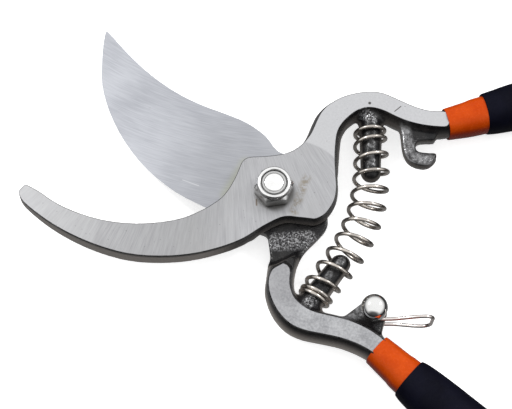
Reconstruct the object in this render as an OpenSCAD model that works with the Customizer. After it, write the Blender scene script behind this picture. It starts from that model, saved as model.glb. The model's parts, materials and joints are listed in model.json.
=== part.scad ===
// Bypass pruning shears: two drop-forged steel arms on one pivot bolt, a coil spring between
// two forged studs, a wire bail latch and a two-layer grip on each handle.
// The origin is on the pivot axis, on the surface the tool lies on. +X runs back between the
// open handles, +Y is the hook arm's side and +Z points up to the nut. Drawn fully open.

/* [Forged arms] */
// Thickness of both handles
arm_t = 10; // [9.6:0.1:10.4]
// Thickness of the hook and its pivot plate
plate_t = 4.9; // [4.5:0.1:5]
// Thickness of the cutting blade
blade_t = 4.4; // [4:0.1:4.5]
// Gap between the two cutting faces
face_gap = 0.1; // [0.05:0.01:0.15]
// Width of the ground bevel under the cutting edge
bevel_w = 8.5; // [6:0.5:9]
// Diameter of the two spring studs
stud_d = 5.9; // [5.5:0.1:6]
// Thickness of the catch under the hook handle
catch_t = 4; // [3.6:0.1:4.4]
// Thickness of the ear that carries the latch
ear_t = 4.2; // [4:0.1:4.3]

/* [Pivot] */
// Diameter of the bolt's bearing shank
shank_d = 8; // [7:0.5:9]
// Radial running clearance of the blade arm on the bolt
run_gap = 0.05; // [0.01:0.01:0.1]
// Width across flats of the bolt head
head_af = 13; // [12:0.5:14]
// Thread diameter of the nut end
thread_d = 6; // [5:0.5:6]
// Width across flats of the lock nut
nut_af = 10; // [9.5:0.5:11]
// Height of the lock nut
nut_h = 6.5; // [6:0.1:7]
// Thickness of the washer under the blade arm
washer_t = 0.5; // [0.4:0.1:0.6]

/* [Return spring] */
// Diameter of the spring wire
spring_wire = 1.15; // [1:0.05:1.3]
// Outer diameter of the end coils
coil_d = 10.1; // [9.8:0.1:10.4]
// How much wider the middle coils are
coil_swell = 1.8; // [0:0.1:1.8]
// Pitch of the open coils
coil_pitch = 5.6; // [5.4:0.05:5.8]

/* [Latch] */
// Diameter of the rivet's polished ball head
ball_d = 8; // [7:0.5:8]
// Diameter of the rivet's shank
rivet_d = 4; // [3.6:0.1:4.2]
// Diameter of the bail's wire
bail_wire = 1.1; // [1:0.05:1.2]
// Distance from the rivet to the bail's end bar
bail_len = 17.65; // [17.5:0.05:17.8]
// Outside height of the bail's open end
bail_h = 11.6; // [11:0.1:12]

/* [Grips] */
// Thickness of the outer sleeve at its fullest
sleeve_t = 16.8; // [16:0.1:16.8]
// Thickness of the inner coat where it starts
coat_t = 0.55; // [0.4:0.05:0.7]
// Length of the inner coat that shows ahead of the sleeve
band_len = 12.6; // [12:0.1:13]

/* [Hidden] */
$fn = 48;

mid_z = 8.4;                         // parting plane of both forgings
top_z = mid_z + arm_t / 2;           // ground top of the plate and the handles
bottom_z = mid_z - arm_t / 2;        // underside of the bare handles
plate_z = top_z - plate_t;           // underside of the hook plate
blade_z = plate_z - face_gap;        // cutting face of the blade
blade_bottom_z = blade_z - blade_t;
head_h = blade_bottom_z - washer_t;  // the bolt head fills the space down to the rest surface
washer_r = 8;

// Each arm is a run of cross sections from its tip to the end of its tang. The near side (-Y)
// and the far side (+Y) are lists of x, y and how far the top edge, the parting line and the
// bottom edge stand out from that point; the levels give top z, bottom z and roundness.
hook_near = [
    [[-76.5, -12.7, 0, 0.2, 0.1], [-74.2, -15.6, 0, 0.4, 0.2], [-66.5, -20, 0, 0.8, 0.4],
    [-58, -23.4, 0, 1.1, 0.6], [-49, -25.7, 0, 1.3, 0.7], [-40, -26.8, 0, 1.3, 0.7],
    [-31, -26.2, 0, 1.2, 0.7], [-22, -24.2, 0, 1.1, 0.6], [-14, -21, 0, 1, 0.6],
    [-7, -16.9, 0, 1, 0.6], [-1.5, -11.9, 0, 1, 0.6], [4, -8, 0, 1, 0.6],
    [9, -7.4, 0, 1, 0.6], [13.6, -7.3, 0, 1, 0.6]],
    [[13.6, -7.3, 0, 1, 0.6], [16.3, -5.2, 0, 1, 0.7], [18.3, -0.8, 0, 1, 0.7],
    [18.5, 3.5, 0, 1.1, 0.7], [17.6, 8, 0, 1.3, 0.6], [16.4, 14, 0, 1.8, 0.3],
    [15.9, 19, 0, 1.9, 0], [16, 22.4, 0, 1.8, 0], [17.1, 25.4, 0, 1.6, 0],
    [18.8, 27.9, 0, 1.4, 0], [21, 30.4, 0, 1.5, 0], [23.8, 32.1, 0, 1.8, 0],
    [26.8, 32.5, 0, 2, 0], [30.2, 31.9, 0, 2, 0], [34.2, 30.5, 0, 2.1, 0],
    [38.3, 29.5, 0, 2.1, 0], [43.3, 29.1, 0, 2.1, 0], [49, 29.5, 0, 2, 0],
    [52, 30.7, 0, 1.8, 0], [61.9, 35.2, 0, 1.7, 0], [80.8, 43.6, 0, 1.6, 0],
    [100.6, 50.7, 0, 1.5, 0], [115.5, 54.9, 0, 1.4, 0]]];
hook_far = [
    [[-75, -9.9, 0, 0.1, 0.1], [-70.6, -11.5, 0, 0.2, 0.1], [-64, -14.7, 0, 0.4, 0.2],
    [-56, -16.9, 0, 0.5, 0.2], [-48, -17.8, 0, 0.5, 0.2], [-40, -17.4, 0, 0.5, 0.2],
    [-32, -15.7, 0, 0.5, 0.2], [-25, -13, 0, 0.4, 0.2], [-19.2, -9, 0, 0.2, 0.1]],
    [[-19.2, -9, 0, 0.2, 0.1], [-15.4, -5.2, 0, 0.2, 0.1], [-13.2, -1, 0, 0.2, 0.1],
    [-11.9, 3.4, 0, 0.2, 0.1], [-11.1, 7.3, 0, 0.2, 0.1]],
    [[-11.1, 7.3, 0, 0.2, 0.1], [-9.4, 9.3, 0, 0.2, 0.1], [-4.5, 10.4, 0, 0.2, 0.1],
    [0, 11.7, 0, 0.3, 0.1], [3.3, 13.2, 0, 0.6, 0.1], [5.7, 15.3, 0, 1, 0.1],
    [7.6, 17.8, 0, 1.4, 0], [9.1, 21, 0, 1.7, 0], [10.1, 24.8, 0, 1.8, 0],
    [11.3, 28.2, 0, 1.9, 0], [13.4, 31, 0, 1.9, 0], [16.7, 33.7, 0, 1.9, 0],
    [20.5, 35.5, 0, 2, 0], [24.5, 36.7, 0, 2, 0], [28.8, 36.8, 0, 2, 0],
    [34.1, 35.2, 0, 2, 0], [38.8, 33.8, 0, 2, 0], [43.6, 33.1, 0, 2, 0],
    [48.2, 33.7, 0, 2, 0], [50.2, 34.6, 0, 1.8, 0], [60.1, 39.2, 0, 1.7, 0],
    [79.2, 47.6, 0, 1.6, 0], [99.4, 54.5, 0, 1.5, 0], [114.5, 58.3, 0, 1.4, 0]]];
hook_levels = concat([for (i = [0:17]) [top_z, plate_z, 0]],
    [[top_z, plate_z - 1.2, 0.4], [top_z, bottom_z + 2, 0.8], [top_z, bottom_z + 0.3, 1]],
    [for (i = [0:9]) [top_z, bottom_z, 1]],
    [for (i = [1:5]) [top_z - 0.24 * i, bottom_z + 0.24 * i, 1]]);

blade_near = [
    [[-61.9, 47.4, -0.1, 0, -0.2], [-61.7, 42.5, -0.3, 0, -1.3], [-60.8, 36, -0.5, 0, -4.5],
    [-59.2, 28.5, -0.6, 0, -7], [-55, 19.6, -0.6, 0, -bevel_w], [-48.5, 10.6, -0.6, 0, -bevel_w],
    [-40, 2.6, -0.6, 0, -bevel_w], [-30, -3.5, -0.6, 0, -bevel_w], [-20, -7.1, -0.6, 0, -5.5],
    [-12, -10, -0.6, 0, -1.5], [-6, -11.6, -0.6, 0, -0.4], [-2.5, -12.2, -0.6, 0, -0.3]],
    [[-2.5, -12.2, -0.6, 0, -0.3], [-0.2, -12.8, -0.6, 0, -0.3], [0.6, -15, -0.6, 0, -0.3],
    [1.2, -17, -0.7, 0, -0.4], [1.7, -19, -0.9, 0, -0.6], [1.9, -20.6, -1.3, 0, -0.8],
    [1.9, -22.2, -2.2, 0, -1.2], [1.9, -24.2, -1.9, 0, -1.3], [2, -27.4, -0.9, 0, -1],
    [3.2, -30.6, 0, 1.1, 0], [4.8, -34.2, 0, 1.4, 0], [7.5, -37.7, 0, 1.8, 0],
    [11.2, -40.5, 0, 2, 0], [15.5, -41.7, 0, 2.1, 0], [20.5, -42, 0, 2.1, 0],
    [26.5, -42.4, 0, 2.1, 0], [32, -43.6, 0, 2.1, 0], [36, -45.2, 0, 2, 0],
    [38.8, -46.9, 0, 1.8, 0], [46.8, -52.4, 0, 1.7, 0], [64.9, -63.8, 0, 1.6, 0],
    [83.1, -73.8, 0, 1.5, 0], [97.2, -80.4, 0, 1.4, 0]]];
blade_far = [
    [[-61.3, 47.6, -0.1, 0, -0.1], [-58.5, 45.3, -0.3, 0, -0.3], [-53.5, 41, -0.5, 0, -0.4],
    [-47, 36.1, -0.5, 0, -0.4], [-40, 31.9, -0.5, 0, -0.4], [-33, 28.7, -0.5, 0, -0.4],
    [-26, 26.5, -0.5, 0, -0.4], [-19, 24.9, -0.5, 0, -0.4], [-12, 22.9, -0.5, 0, -0.4],
    [-5.6, 19.4, -0.5, 0, -0.4], [-0.8, 14.8, -0.5, 0, -0.4], [7.3, 12.6, -0.5, 0, -0.4],
    [12.7, 7.3, -0.5, 0, -0.4], [16.4, -1.5, -0.5, 0, -0.4]],
    [[16.4, -1.5, -0.5, 0, -0.4], [17.8, -6.8, -0.6, 0, -0.4], [15.9, -10.9, -0.8, 0, -0.5],
    [12.9, -15.2, -1, 0, -0.6], [11.3, -18.4, -1.4, 0, -0.8], [10.5, -21, -2.1, 0, -1.2],
    [10.1, -24, -1.6, 0, -1.4], [8.9, -28.5, 0, 1.5, 0], [10.4, -32.2, 0, 1.6, 0],
    [12.7, -34.4, 0, 1.8, 0], [15.6, -35.9, 0, 2, 0], [18.5, -36.6, 0, 2.1, 0],
    [22.5, -36.9, 0, 2.1, 0], [28, -37.5, 0, 2.1, 0], [33.5, -39.1, 0, 2.1, 0],
    [38, -41.3, 0, 2, 0], [41.2, -43.5, 0, 1.8, 0], [49.2, -48.8, 0, 1.7, 0],
    [67.1, -60, 0, 1.6, 0], [84.9, -70.2, 0, 1.5, 0], [98.8, -77.2, 0, 1.4, 0]]];
blade_levels = concat([for (i = [0:3]) [blade_z, blade_bottom_z + 1.2 - 0.4 * i, 0]],
    [for (i = [4:13]) [blade_z, blade_bottom_z, 0]],
    [[blade_z, blade_bottom_z, 0.1], [blade_z, blade_bottom_z, 0.3],
    [blade_z - 0.2, blade_bottom_z - 0.2, 0.6], [blade_z + 1, bottom_z + 0.2, 0.9],
    [top_z - 0.4, bottom_z, 1]], [for (i = [0:10]) [top_z, bottom_z, 1]],
    [for (i = [1:4]) [top_z - 0.3 * i, bottom_z + 0.3 * i, 1]]);

// Grip layers along their centre line: x, y, half width, half thickness
upper_coat = [[49.4, 32, 4.1 + coat_t, 5 + coat_t], [52, 33.1, 4.9, 5.8],
    [56, 34.8, 5.3, 6.1], [61, 37.2, 5.6, 6.3], [80, 45.6, 5.4, 6], [100, 52.6, 5, 5.6],
    [117, 57.1, 4.4, 5]];
upper_sleeve = [[48.5 + band_len * 0.92, 31.5 + band_len * 0.44, 6.1, 6.8], [64, 38.6, 6.5, 7.4],
    [72, 42.2, 7.1, 8.1], [84, 47.1, 7.5, sleeve_t / 2], [98, 52, 7.5, sleeve_t / 2],
    [110, 55.4, 7, 8.1], [118, 57.4, 6.4, 7.4]];
lower_coat = [[37.2, -43.3, 4.1 + coat_t, 5 + coat_t], [40, -45.2, 4.9, 5.8],
    [43.8, -47.8, 5.2, 6.1], [48, -50.6, 5.6, 6.3], [66, -61.9, 5.4, 6], [84, -72, 5, 5.6],
    [99.8, -79.6, 4.4, 5]];
lower_sleeve = [[37 + band_len * 0.84, -43.3 - band_len * 0.56, 6.2, 6.8], [50.5, -52.3, 6.8, 7.4],
    [57, -56.5, 7.3, 8.1], [68, -63.3, 7.5, sleeve_t / 2], [80.5, -70.3, 7.5, sleeve_t / 2],
    [92, -76.1, 7, 8.1], [100.7, -80, 6.4, 7.4]];

fit_gap = 0.03;                      // between each grip layer and what is inside it
coat_dome = 3;                       // how far the closed ends bulge
sleeve_dome = 6;
hook_tang = 84;                      // first cross section of each tang inside its grip
blade_tang = 78;

// Spring studs: foot, direction, length and how far the collar runs back into the arm
hook_stud = [26.2, 29];
hook_stud_a = -82.5;
hook_stud_l = 20.1;
blade_stud = [16.4, -31.2];
blade_stud_a = 61.5;
blade_stud_l = 17.1;

// Spring axis from the hook arm's seat to the blade arm's seat
spring_axis = [[26.3, 26.6], [27.4, 20], [28.5, 13], [28.9, 6.8], [28.8, 0.8], [27.9, -4.8],
    [26.4, -10.4], [24.3, -15.7], [21.8, -20.7], [19.2, -25.4], [16.6, -31]];
close_pitch = spring_wire * 1.1;
coils = 13.1;
first_turn_a = 200;
opens_at = 0.5;                      // turns before the coils open, and over how many they do
opens_over = 1.4;
closes_at = 10.65;                   // the same at the far end
closes_over = 1.2;

// Turn of the lock nut and of the bolt head
nut_a = 17;

// Latch
rivet_at = [34.75, -32.4];
ball_r = ball_d / 2;
tail_r = 3.5;                        // riveted end under the ear
tail_h = 1.8;
bail_rest_a = 1;
eye_r = rivet_d / 2 + 0.05 + bail_wire / 2;
root_z = ear_t / 2 + 0.05 + bail_wire / 2;
end_z = (bail_h - bail_wire) / 2;
end_r = 2.6;

steel = [0.72, 0.73, 0.75];
polished = [0.85, 0.86, 0.88];
orange = [0.92, 0.35, 0.08];
black = [0.08, 0.08, 0.1];
nylon = [0.2, 0.2, 0.22];

// ---- curves ----

function spline_at(a, b, c, d, t) =
    0.5 * (2 * b + (c - a) * t + (2 * a - 5 * b + 4 * c - d) * t * t
        + (3 * b - a - 3 * c + d) * t * t * t);

// A smooth run through p with n steps a span, without its last point
function run(p, n) = [for (i = [0:len(p) - 2]) for (k = [0:n - 1])
    spline_at(p[max(i - 1, 0)], p[i], p[i + 1], p[min(i + 2, len(p) - 1)], k / n)];

// The same run with its last point
function whole_run(p, n) = concat(run(p, n), [p[len(p) - 1]]);

function unit(v) = v / norm(v);

function tangent(p, i) = let (a = p[max(i - 1, 0)], b = p[min(i + 1, len(p) - 1)])
    unit([b[0] - a[0], b[1] - a[1]]);

// Several smooth runs joined at their corners
function chain(runs, n) = let (final = runs[len(runs) - 1])
    concat([for (r = runs) for (q = run(r, n)) q], [final[len(final) - 1]]);

// ---- solids from rings ----

// A closed solid through rings of equal length, each anticlockwise seen from the last one
module skin(rings) {
    m = len(rings[0]);
    n = len(rings);
    sides = [for (i = [0:n - 2]) for (j = [0:m - 1]) for (half = [0, 1])
        let (a = i * m + j, b = i * m + (j + 1) % m, c = a + m, d = b + m)
        half == 0 ? [a, d, b] : [a, c, d]];
    polyhedron(points = [for (ring = rings) for (p = ring) p],
        faces = concat([[for (j = [0:m - 1]) j]], sides,
            [[for (j = [m - 1:-1:0]) (n - 1) * m + j]]));
}

// One flank of a forging's cross section from its top edge round to its bottom edge
function flank(q, level, part_z, out) =
    let (bulge = function (u) (1 - level[2]) * u + level[2] * pow(sin(90 * u), 0.8))
    concat([for (u = [0, 0.3, 0.65, 1])
            let (d = q[2] + (q[3] - q[2]) * bulge(u)) [q[0] + out[0] * d, q[1] + out[1] * d,
                level[0] + (part_z - level[0]) * u]],
        [for (u = [0.65, 0.3, 0])
            let (d = q[4] + (q[3] - q[4]) * bulge(u)) [q[0] + out[0] * d, q[1] + out[1] * d,
                level[1] + (part_z - level[1]) * u]]);

// The cross sections of a whole arm, ready for skin()
function arm_rings(near, far, levels, part_z) = [for (i = [0:len(near) - 1])
    let (a = tangent(near, i), b = tangent(far, i),
        low = flank(near[i], levels[i], part_z, [a[1], -a[0]]),
        high = flank(far[i], levels[i], part_z, [-b[1], b[0]]))
    concat(low, [for (k = [6:-1:0]) high[k]])];

// Section of a grip: a rounded oval
function oval_ring(p, i, shrink, n) = let (s = p[i], t = tangent(p, i))
    [for (k = [0:n - 1]) let (a = 360 * k / n, c = cos(a), v = sin(a),
        x = (s[2] - shrink) * sign(c) * pow(abs(c), 0.85),
        z = (s[3] - shrink) * sign(v) * pow(abs(v), 0.85))
        [s[0] - t[1] * x, s[1] + t[0] * x, mid_z + z]];

// A round wire along a path of 3-D points, with sides that turn with the path's own normal
module wire(path, normals, d, n) {
    last = len(path) - 1;
    skin([for (i = [0:last]) let (t = unit(path[min(i + 1, last)] - path[max(i - 1, 0)]),
        v = unit(cross(t, normals[i])), u = cross(v, t))
        [for (k = [0:n - 1]) path[i] + d / 2 * (cos(360 * k / n) * u + sin(360 * k / n) * v)]]);
}

// ---- forgings ----

// A spring stud with a collar at its foot and a round tip, lying in the parting plane
module stud(at, a, length, foot) {
    translate([at[0], at[1], mid_z]) rotate([0, 0, a]) rotate([0, 90, 0]) rotate_extrude()
        polygon(concat([[0, -foot], [3.6, -foot], [3.6, 1.2], [3.45, 2.6]],
            [for (k = [0:6]) [stud_d / 2 * cos(15 * k), length - stud_d / 2 * (1 - sin(15 * k))]]));
}

module pivot_hole(r) {
    translate([0, 0, -1]) cylinder(r = r, h = 30, $fn = 64);
}

module catch() {
    outer = [[34.6, 29.5], [35.8, 26.9], [36.6, 23.6], [37.6, 19.9], [39.6, 17.2], [42.6, 16.2],
        [45.5, 16.6], [47.2, 18.2], [47.8, 20], [47.6, 21.3]];
    slot = [[47.6, 21.3], [45, 21], [42.3, 20.8], [41.3, 21.2], [41, 22.5], [41.3, 24.1],
        [43, 24.7], [46.8, 25.4]];
    translate([0, 0, mid_z - catch_t / 2]) linear_extrude(catch_t)
        polygon(concat(run(outer, 3), run(slot, 2), [[46.8, 25.4], [46.8, 29.5]]));
}

module hook_arm() {
    near = chain(hook_near, 3);
    far = chain(hook_far, 3);
    color(steel) difference() {
        union() {
            skin(arm_rings(near, far, whole_run(hook_levels, 3), plate_z));
            catch();
            stud(hook_stud, hook_stud_a, hook_stud_l, 2);
        }
        pivot_hole(shank_d / 2 + 0.02);
    }
}

module ear() {
    translate([0, 0, mid_z - ear_t / 2]) linear_extrude(ear_t) polygon(concat(
        [[24.8, -37.5], [26.6, -35], [31.6, -29.7]],
        [for (a = [128:-20:-12]) rivet_at + 4.1 * [cos(a), sin(a)]],
        [[38.4, -35], [38, -38.2], [36, -41], [27, -39]]));
}

module blade_arm() {
    near = chain(blade_near, 3);
    far = chain(blade_far, 3);
    color(steel) difference() {
        union() {
            skin(arm_rings(near, far, whole_run(blade_levels, 3), blade_z));
            ear();
            stud(blade_stud, blade_stud_a, blade_stud_l, 4);
        }
        pivot_hole(shank_d / 2 + run_gap);
        translate([rivet_at[0], rivet_at[1], 0]) cylinder(r = rivet_d / 2, h = 20);
    }
}

// ---- pivot hardware ----

module hexagon(af, h) {
    cylinder(d = af / cos(30), h = h, $fn = 6);
}

// A hexagon with its corners turned off at the top
module turned_hexagon(af, h, bevel) {
    intersection() {
        hexagon(af, h);
        rotate_extrude() polygon([[0, 0], [af / 2 + 2, 0], [af / 2 + 2, h - bevel - 0.8],
            [af / 2, h], [0, h]]);
    }
}

module pivot_bolt() {
    thread_top = top_z + nut_h - 0.15;
    color(polished) {
        translate([0, 0, head_h]) mirror([0, 0, 1]) turned_hexagon(head_af, head_h, 0.3);
        translate([0, 0, head_h - 0.01]) rotate_extrude() polygon([[0, 0], [shank_d / 2, 0],
            [shank_d / 2, top_z - head_h - 0.2], [thread_d / 2 - 0.02, top_z - head_h - 0.2],
            [thread_d / 2 - 0.02, thread_top - head_h - 0.5], [thread_d / 2 - 0.5, thread_top - head_h],
            [0, thread_top - head_h]]);
    }
}

module head_washer() {
    color(steel) translate([0, 0, head_h + 0.02]) difference() {
        cylinder(r = washer_r, h = washer_t - 0.04);
        translate([0, 0, -1]) cylinder(r = shank_d / 2 + 0.2, h = 3);
    }
}

module pivot_nut() {
    color(polished) translate([0, 0, top_z + 0.01]) difference() {
        union() {
            rotate([0, 0, nut_a]) turned_hexagon(nut_af, nut_h - 1.8, 0.3);
            rotate_extrude() polygon([[0, 1], [nut_af / 2 - 0.1, 1], [nut_af / 2 - 0.1, nut_h - 0.6],
                [nut_af / 2 - 0.6, nut_h], [0, nut_h]]);
        }
        translate([0, 0, -1]) cylinder(d = thread_d, h = nut_h);
        translate([0, 0, nut_h - 1.6]) cylinder(r = thread_d / 2 + 1.1, h = 1.2);
        translate([0, 0, nut_h - 1]) cylinder(r = thread_d / 2 + 0.75, h = 3);
    }
}

module nut_insert() {
    color(nylon) translate([0, 0, top_z + nut_h - 1.58]) difference() {
        union() {
            cylinder(r = thread_d / 2 + 1.08, h = 1.15);
            cylinder(r = thread_d / 2 + 0.72, h = 1.4);
        }
        translate([0, 0, -1]) cylinder(d = thread_d, h = 4);
    }
}

// ---- spring ----

// Turns of pitch that ramp up over r turns
function ramp(u, r) = u <= 0 ? 0 : u < r ? u * u / (2 * r) : u - r / 2;

// Distance along the spring after a number of turns, with close coils at both ends
function coil_rise(turn) = close_pitch * turn + (coil_pitch - close_pitch)
    * (ramp(turn - opens_at, opens_over) - ramp(turn - closes_at, closes_over));

// Running length of a path of points
function lengths(p, i = 1, d = [0]) = i == len(p) ? d
    : lengths(p, i + 1, concat(d, [d[i - 1] + norm(p[i] - p[i - 1])]));

module return_spring() {
    steps = 15;
    last = floor(coils * steps);
    axis = whole_run(spring_axis, 6);
    run_l = lengths(axis);
    whole = run_l[len(axis) - 1];
    at_x = [for (i = [0:len(axis) - 1]) [run_l[i], axis[i][0]]];
    at_y = [for (i = [0:len(axis) - 1]) [run_l[i], axis[i][1]]];
    at = [for (i = [0:last]) let (d = whole * coil_rise(i / steps) / coil_rise(last / steps))
        [lookup(d, at_x), lookup(d, at_y)]];
    along = [for (i = [0:last]) unit(at[min(i + 2, last)] - at[max(i - 2, 0)])];
    out = [for (i = [0:last]) let (a = 360 * i / steps + first_turn_a)
        [-along[i][1] * cos(a), along[i][0] * cos(a), sin(a)]];
    mean_r = (coil_d - spring_wire) / 2;
    color(polished) wire([for (i = [0:last]) [at[i][0], at[i][1], mid_z]
        + (mean_r + coil_swell / 2 * sin(180 * i / last)) * out[i]], out, spring_wire, 8);
}

// ---- latch ----

module latch_rivet() {
    seat = root_z + bail_wire / 2 + 0.05;
    ball_z = seat + 0.6 * ball_r;
    flat_a = asin((seat - ball_z) / ball_r);
    color(polished) translate([rivet_at[0], rivet_at[1], mid_z]) {
        rotate_extrude() polygon(concat([[0, seat]],
            [for (k = [0:12]) let (a = flat_a + (90 - flat_a) * k / 12)
                [max(ball_r * cos(a), 0), ball_z + ball_r * sin(a)]]));
        translate([0, 0, -seat]) cylinder(r = rivet_d / 2 - 0.01, h = 2 * seat);
        rotate_extrude() polygon(concat([[0, -seat], [tail_r, -seat], [tail_r, -seat - 0.5]],
            [for (k = [1:6]) [tail_r * cos(15 * k), -seat - 0.5 - tail_h * sin(15 * k)]]));
    }
}

module latch_bail() {
    a0 = -(90 - asin(eye_r / bail_len));
    leg = sqrt(pow(bail_len, 2) - pow(eye_r, 2));
    foot = eye_r * [cos(a0), sin(a0)];
    dir = [-sin(a0), cos(a0)];
    half = concat([for (k = [12:-1:1]) let (a = a0 - 25 * k) [eye_r * cos(a), eye_r * sin(a), root_z]],
        [for (s = [0, 0.15, 0.3, 0.6, 1]) let (d = (leg - end_r) * s, up = max(s - 0.3, 0) / 0.7)
            [foot[0] + dir[0] * d, foot[1] + dir[1] * d, root_z + (end_z - root_z) * up]],
        [for (k = [1:4]) let (a = 22.5 * k, d = leg - end_r + end_r * sin(a))
            [foot[0] + dir[0] * d, foot[1] + dir[1] * d, end_z - end_r * (1 - cos(a))]]);
    n = len(half);
    path = concat(half, [for (k = [n - 1:-1:0]) [half[k][0], half[k][1], -half[k][2]]]);
    color(polished) translate([rivet_at[0], rivet_at[1], mid_z]) rotate([0, 0, bail_rest_a])
        wire(path, [for (p = path) [dir[1], -dir[0], 0.02] + 0.4 * unit([p[0], p[1], 0])], bail_wire, 8);
}

// ---- grips ----

// The oval body of a grip layer, with a domed end, grown by a small fit gap
module oval_body(sections, dome, grow) {
    path = whole_run(sections, 4);
    last = len(path) - 1;
    t = tangent(path, last);
    e = path[last];
    cap = [for (k = [1:3]) let (a = 28 * k)
        [e[0] + t[0] * dome * sin(a), e[1] + t[1] * dome * sin(a), e[2] * cos(a), e[3] * cos(a)]];
    all = concat(path, cap);
    skin([for (i = [0:len(all) - 1]) oval_ring(all, i, -grow, 20)]);
}

// A tang drawn a little full, to clear it out of the layer around it
module tang_body(near, far, levels, part_z, first) {
    n = chain(near, 3);
    f = chain(far, 3);
    z = whole_run(levels, 3);
    out = fit_gap * [0, 0, 1, 1, 1];
    tall = fit_gap * [1, -1, 0];
    pick = [first:len(n) - 1];
    skin(arm_rings([for (i = pick) n[i] + out], [for (i = pick) f[i] + out],
        [for (i = pick) z[i] + tall], part_z));
}

module upper_grip_liner() {
    color(orange) difference() {
        oval_body(upper_coat, coat_dome, 0);
        tang_body(hook_near, hook_far, hook_levels, plate_z, hook_tang);
    }
}

module upper_grip_sleeve() {
    color(black) difference() {
        oval_body(upper_sleeve, sleeve_dome, 0);
        oval_body(upper_coat, coat_dome, fit_gap);
    }
}

module lower_grip_liner() {
    color(orange) difference() {
        oval_body(lower_coat, coat_dome, 0);
        tang_body(blade_near, blade_far, blade_levels, blade_z, blade_tang);
    }
}

module lower_grip_sleeve() {
    color(black) difference() {
        oval_body(lower_sleeve, sleeve_dome, 0);
        oval_body(lower_coat, coat_dome, fit_gap);
    }
}

hook_arm();
blade_arm();
pivot_bolt();
head_washer();
pivot_nut();
nut_insert();
return_spring();
latch_rivet();
latch_bail();
upper_grip_liner();
upper_grip_sleeve();
lower_grip_liner();
lower_grip_sleeve();
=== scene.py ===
"""Looks of the pruning shears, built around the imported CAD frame.

Shapes are worked out in millimetres and become metres with the object. Materials read positions
in metres."""

import json
import math

import bmesh
import bpy
import numpy as np
import openvdb as vdb
from mathutils import Matrix, Vector


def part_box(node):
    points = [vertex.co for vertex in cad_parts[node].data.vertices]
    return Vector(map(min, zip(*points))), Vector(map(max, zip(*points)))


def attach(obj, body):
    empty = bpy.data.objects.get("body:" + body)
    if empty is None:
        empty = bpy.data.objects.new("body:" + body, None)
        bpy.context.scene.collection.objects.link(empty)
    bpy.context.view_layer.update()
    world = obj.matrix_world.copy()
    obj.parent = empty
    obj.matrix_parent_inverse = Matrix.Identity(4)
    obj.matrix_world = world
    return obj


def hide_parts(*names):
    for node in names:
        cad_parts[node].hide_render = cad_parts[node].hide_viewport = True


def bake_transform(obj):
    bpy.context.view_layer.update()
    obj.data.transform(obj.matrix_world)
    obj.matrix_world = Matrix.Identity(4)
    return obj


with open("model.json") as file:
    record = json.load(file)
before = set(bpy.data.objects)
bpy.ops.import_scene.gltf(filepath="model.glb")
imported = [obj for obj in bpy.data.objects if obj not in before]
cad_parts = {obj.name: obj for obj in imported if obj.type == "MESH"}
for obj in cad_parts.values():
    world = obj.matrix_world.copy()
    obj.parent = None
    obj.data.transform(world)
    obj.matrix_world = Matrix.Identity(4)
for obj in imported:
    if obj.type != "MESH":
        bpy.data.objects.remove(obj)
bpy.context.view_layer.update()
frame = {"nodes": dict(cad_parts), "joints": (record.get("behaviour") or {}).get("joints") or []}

MM = 0.001
TOP_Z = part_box("hook_arm")[1].z / MM          # ground top of the plate and the handles
BOTTOM_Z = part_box("hook_arm")[0].z / MM       # underside of the bare handles
PART_Z = (TOP_Z + BOTTOM_Z) / 2               # parting plane of the forgings
PLATE_Z = 8.5                                 # underside of the hook plate
MERGE = 1e-5                                  # points closer than this are one point
TINY = 1e-6
JOINTS = {j["name"]: j for j in frame["joints"]}
RIVET = Vector(JOINTS["latch_swing"]["pos_m"]) / MM


# ---------------------------------------------------------------- mesh helpers

def cad_mesh(node):
    """Points in millimetres and triangles of a CAD node."""
    mesh = frame["nodes"][node].data
    mesh.calc_loop_triangles()
    points = np.empty(len(mesh.vertices) * 3, np.float32)
    mesh.vertices.foreach_get("co", points)
    tris = np.empty(len(mesh.loop_triangles) * 3, np.int32)
    mesh.loop_triangles.foreach_get("vertices", tris)
    return points.reshape(-1, 3) / MM, tris.reshape(-1, 3)


def level_set(points, faces, voxel, band):
    """A signed distance grid, band millimetres wide on each side of a closed mesh."""
    tris = np.array([f for f in faces if len(f) == 3], np.uint32).reshape(-1, 3)
    quads = np.array([f for f in faces if len(f) == 4], np.uint32).reshape(-1, 4)
    return vdb.FloatGrid.createLevelSetFromPolygons(
        np.ascontiguousarray(points, np.float32), triangles=tris, quads=quads,
        transform=vdb.createLinearTransform(voxelSize=voxel), halfWidth=band / voxel + 2)


def surface(grid, offset):
    """The grid's surface at an offset, with faces that look outwards."""
    points, tris, quads = grid.convertToPolygons(isovalue=offset, adaptivity=0)
    faces = [tuple(int(i) for i in f) for f in tris] + [tuple(int(i) for i in f) for f in quads]
    sides = np.array([(f[0], f[1], f[2]) for f in faces])
    a, b, c = points[sides[:, 0]], points[sides[:, 1]], points[sides[:, 2]]
    if np.einsum("ij,ij->i", a, np.cross(b, c)).sum() < 0:
        faces = [f[::-1] for f in faces]
    return points.astype(float), faces


def offset_twice(points, faces, voxel, first):
    """Grows a mesh by first and takes it back again: fillets if first > 0, round edges if < 0."""
    points, faces = surface(level_set(points, faces, voxel, abs(first)), first)
    return surface(level_set(points, faces, voxel, abs(first)), -first)


def relax(points, faces, rounds):
    """Evens a dense mesh without shrinking it."""
    edges = np.array(sorted({tuple(sorted((f[i - 1], f[i]))) for f in faces for i in range(len(f))}))
    count = np.bincount(edges.ravel(), minlength=len(points))[:, None]
    for step in [0.5, -0.53] * rounds:
        total = np.zeros_like(points)
        np.add.at(total, edges[:, 0], points[edges[:, 1]])
        np.add.at(total, edges[:, 1], points[edges[:, 0]])
        points = points + step * (total / count - points)
    return points


def to_bmesh(points, faces):
    """Points and faces as a mesh to edit."""
    bm = bmesh.new()
    verts = [bm.verts.new(p) for p in points]
    for f in faces:
        bm.faces.new([verts[i] for i in f])
    bm.normal_update()
    return bm


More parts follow.
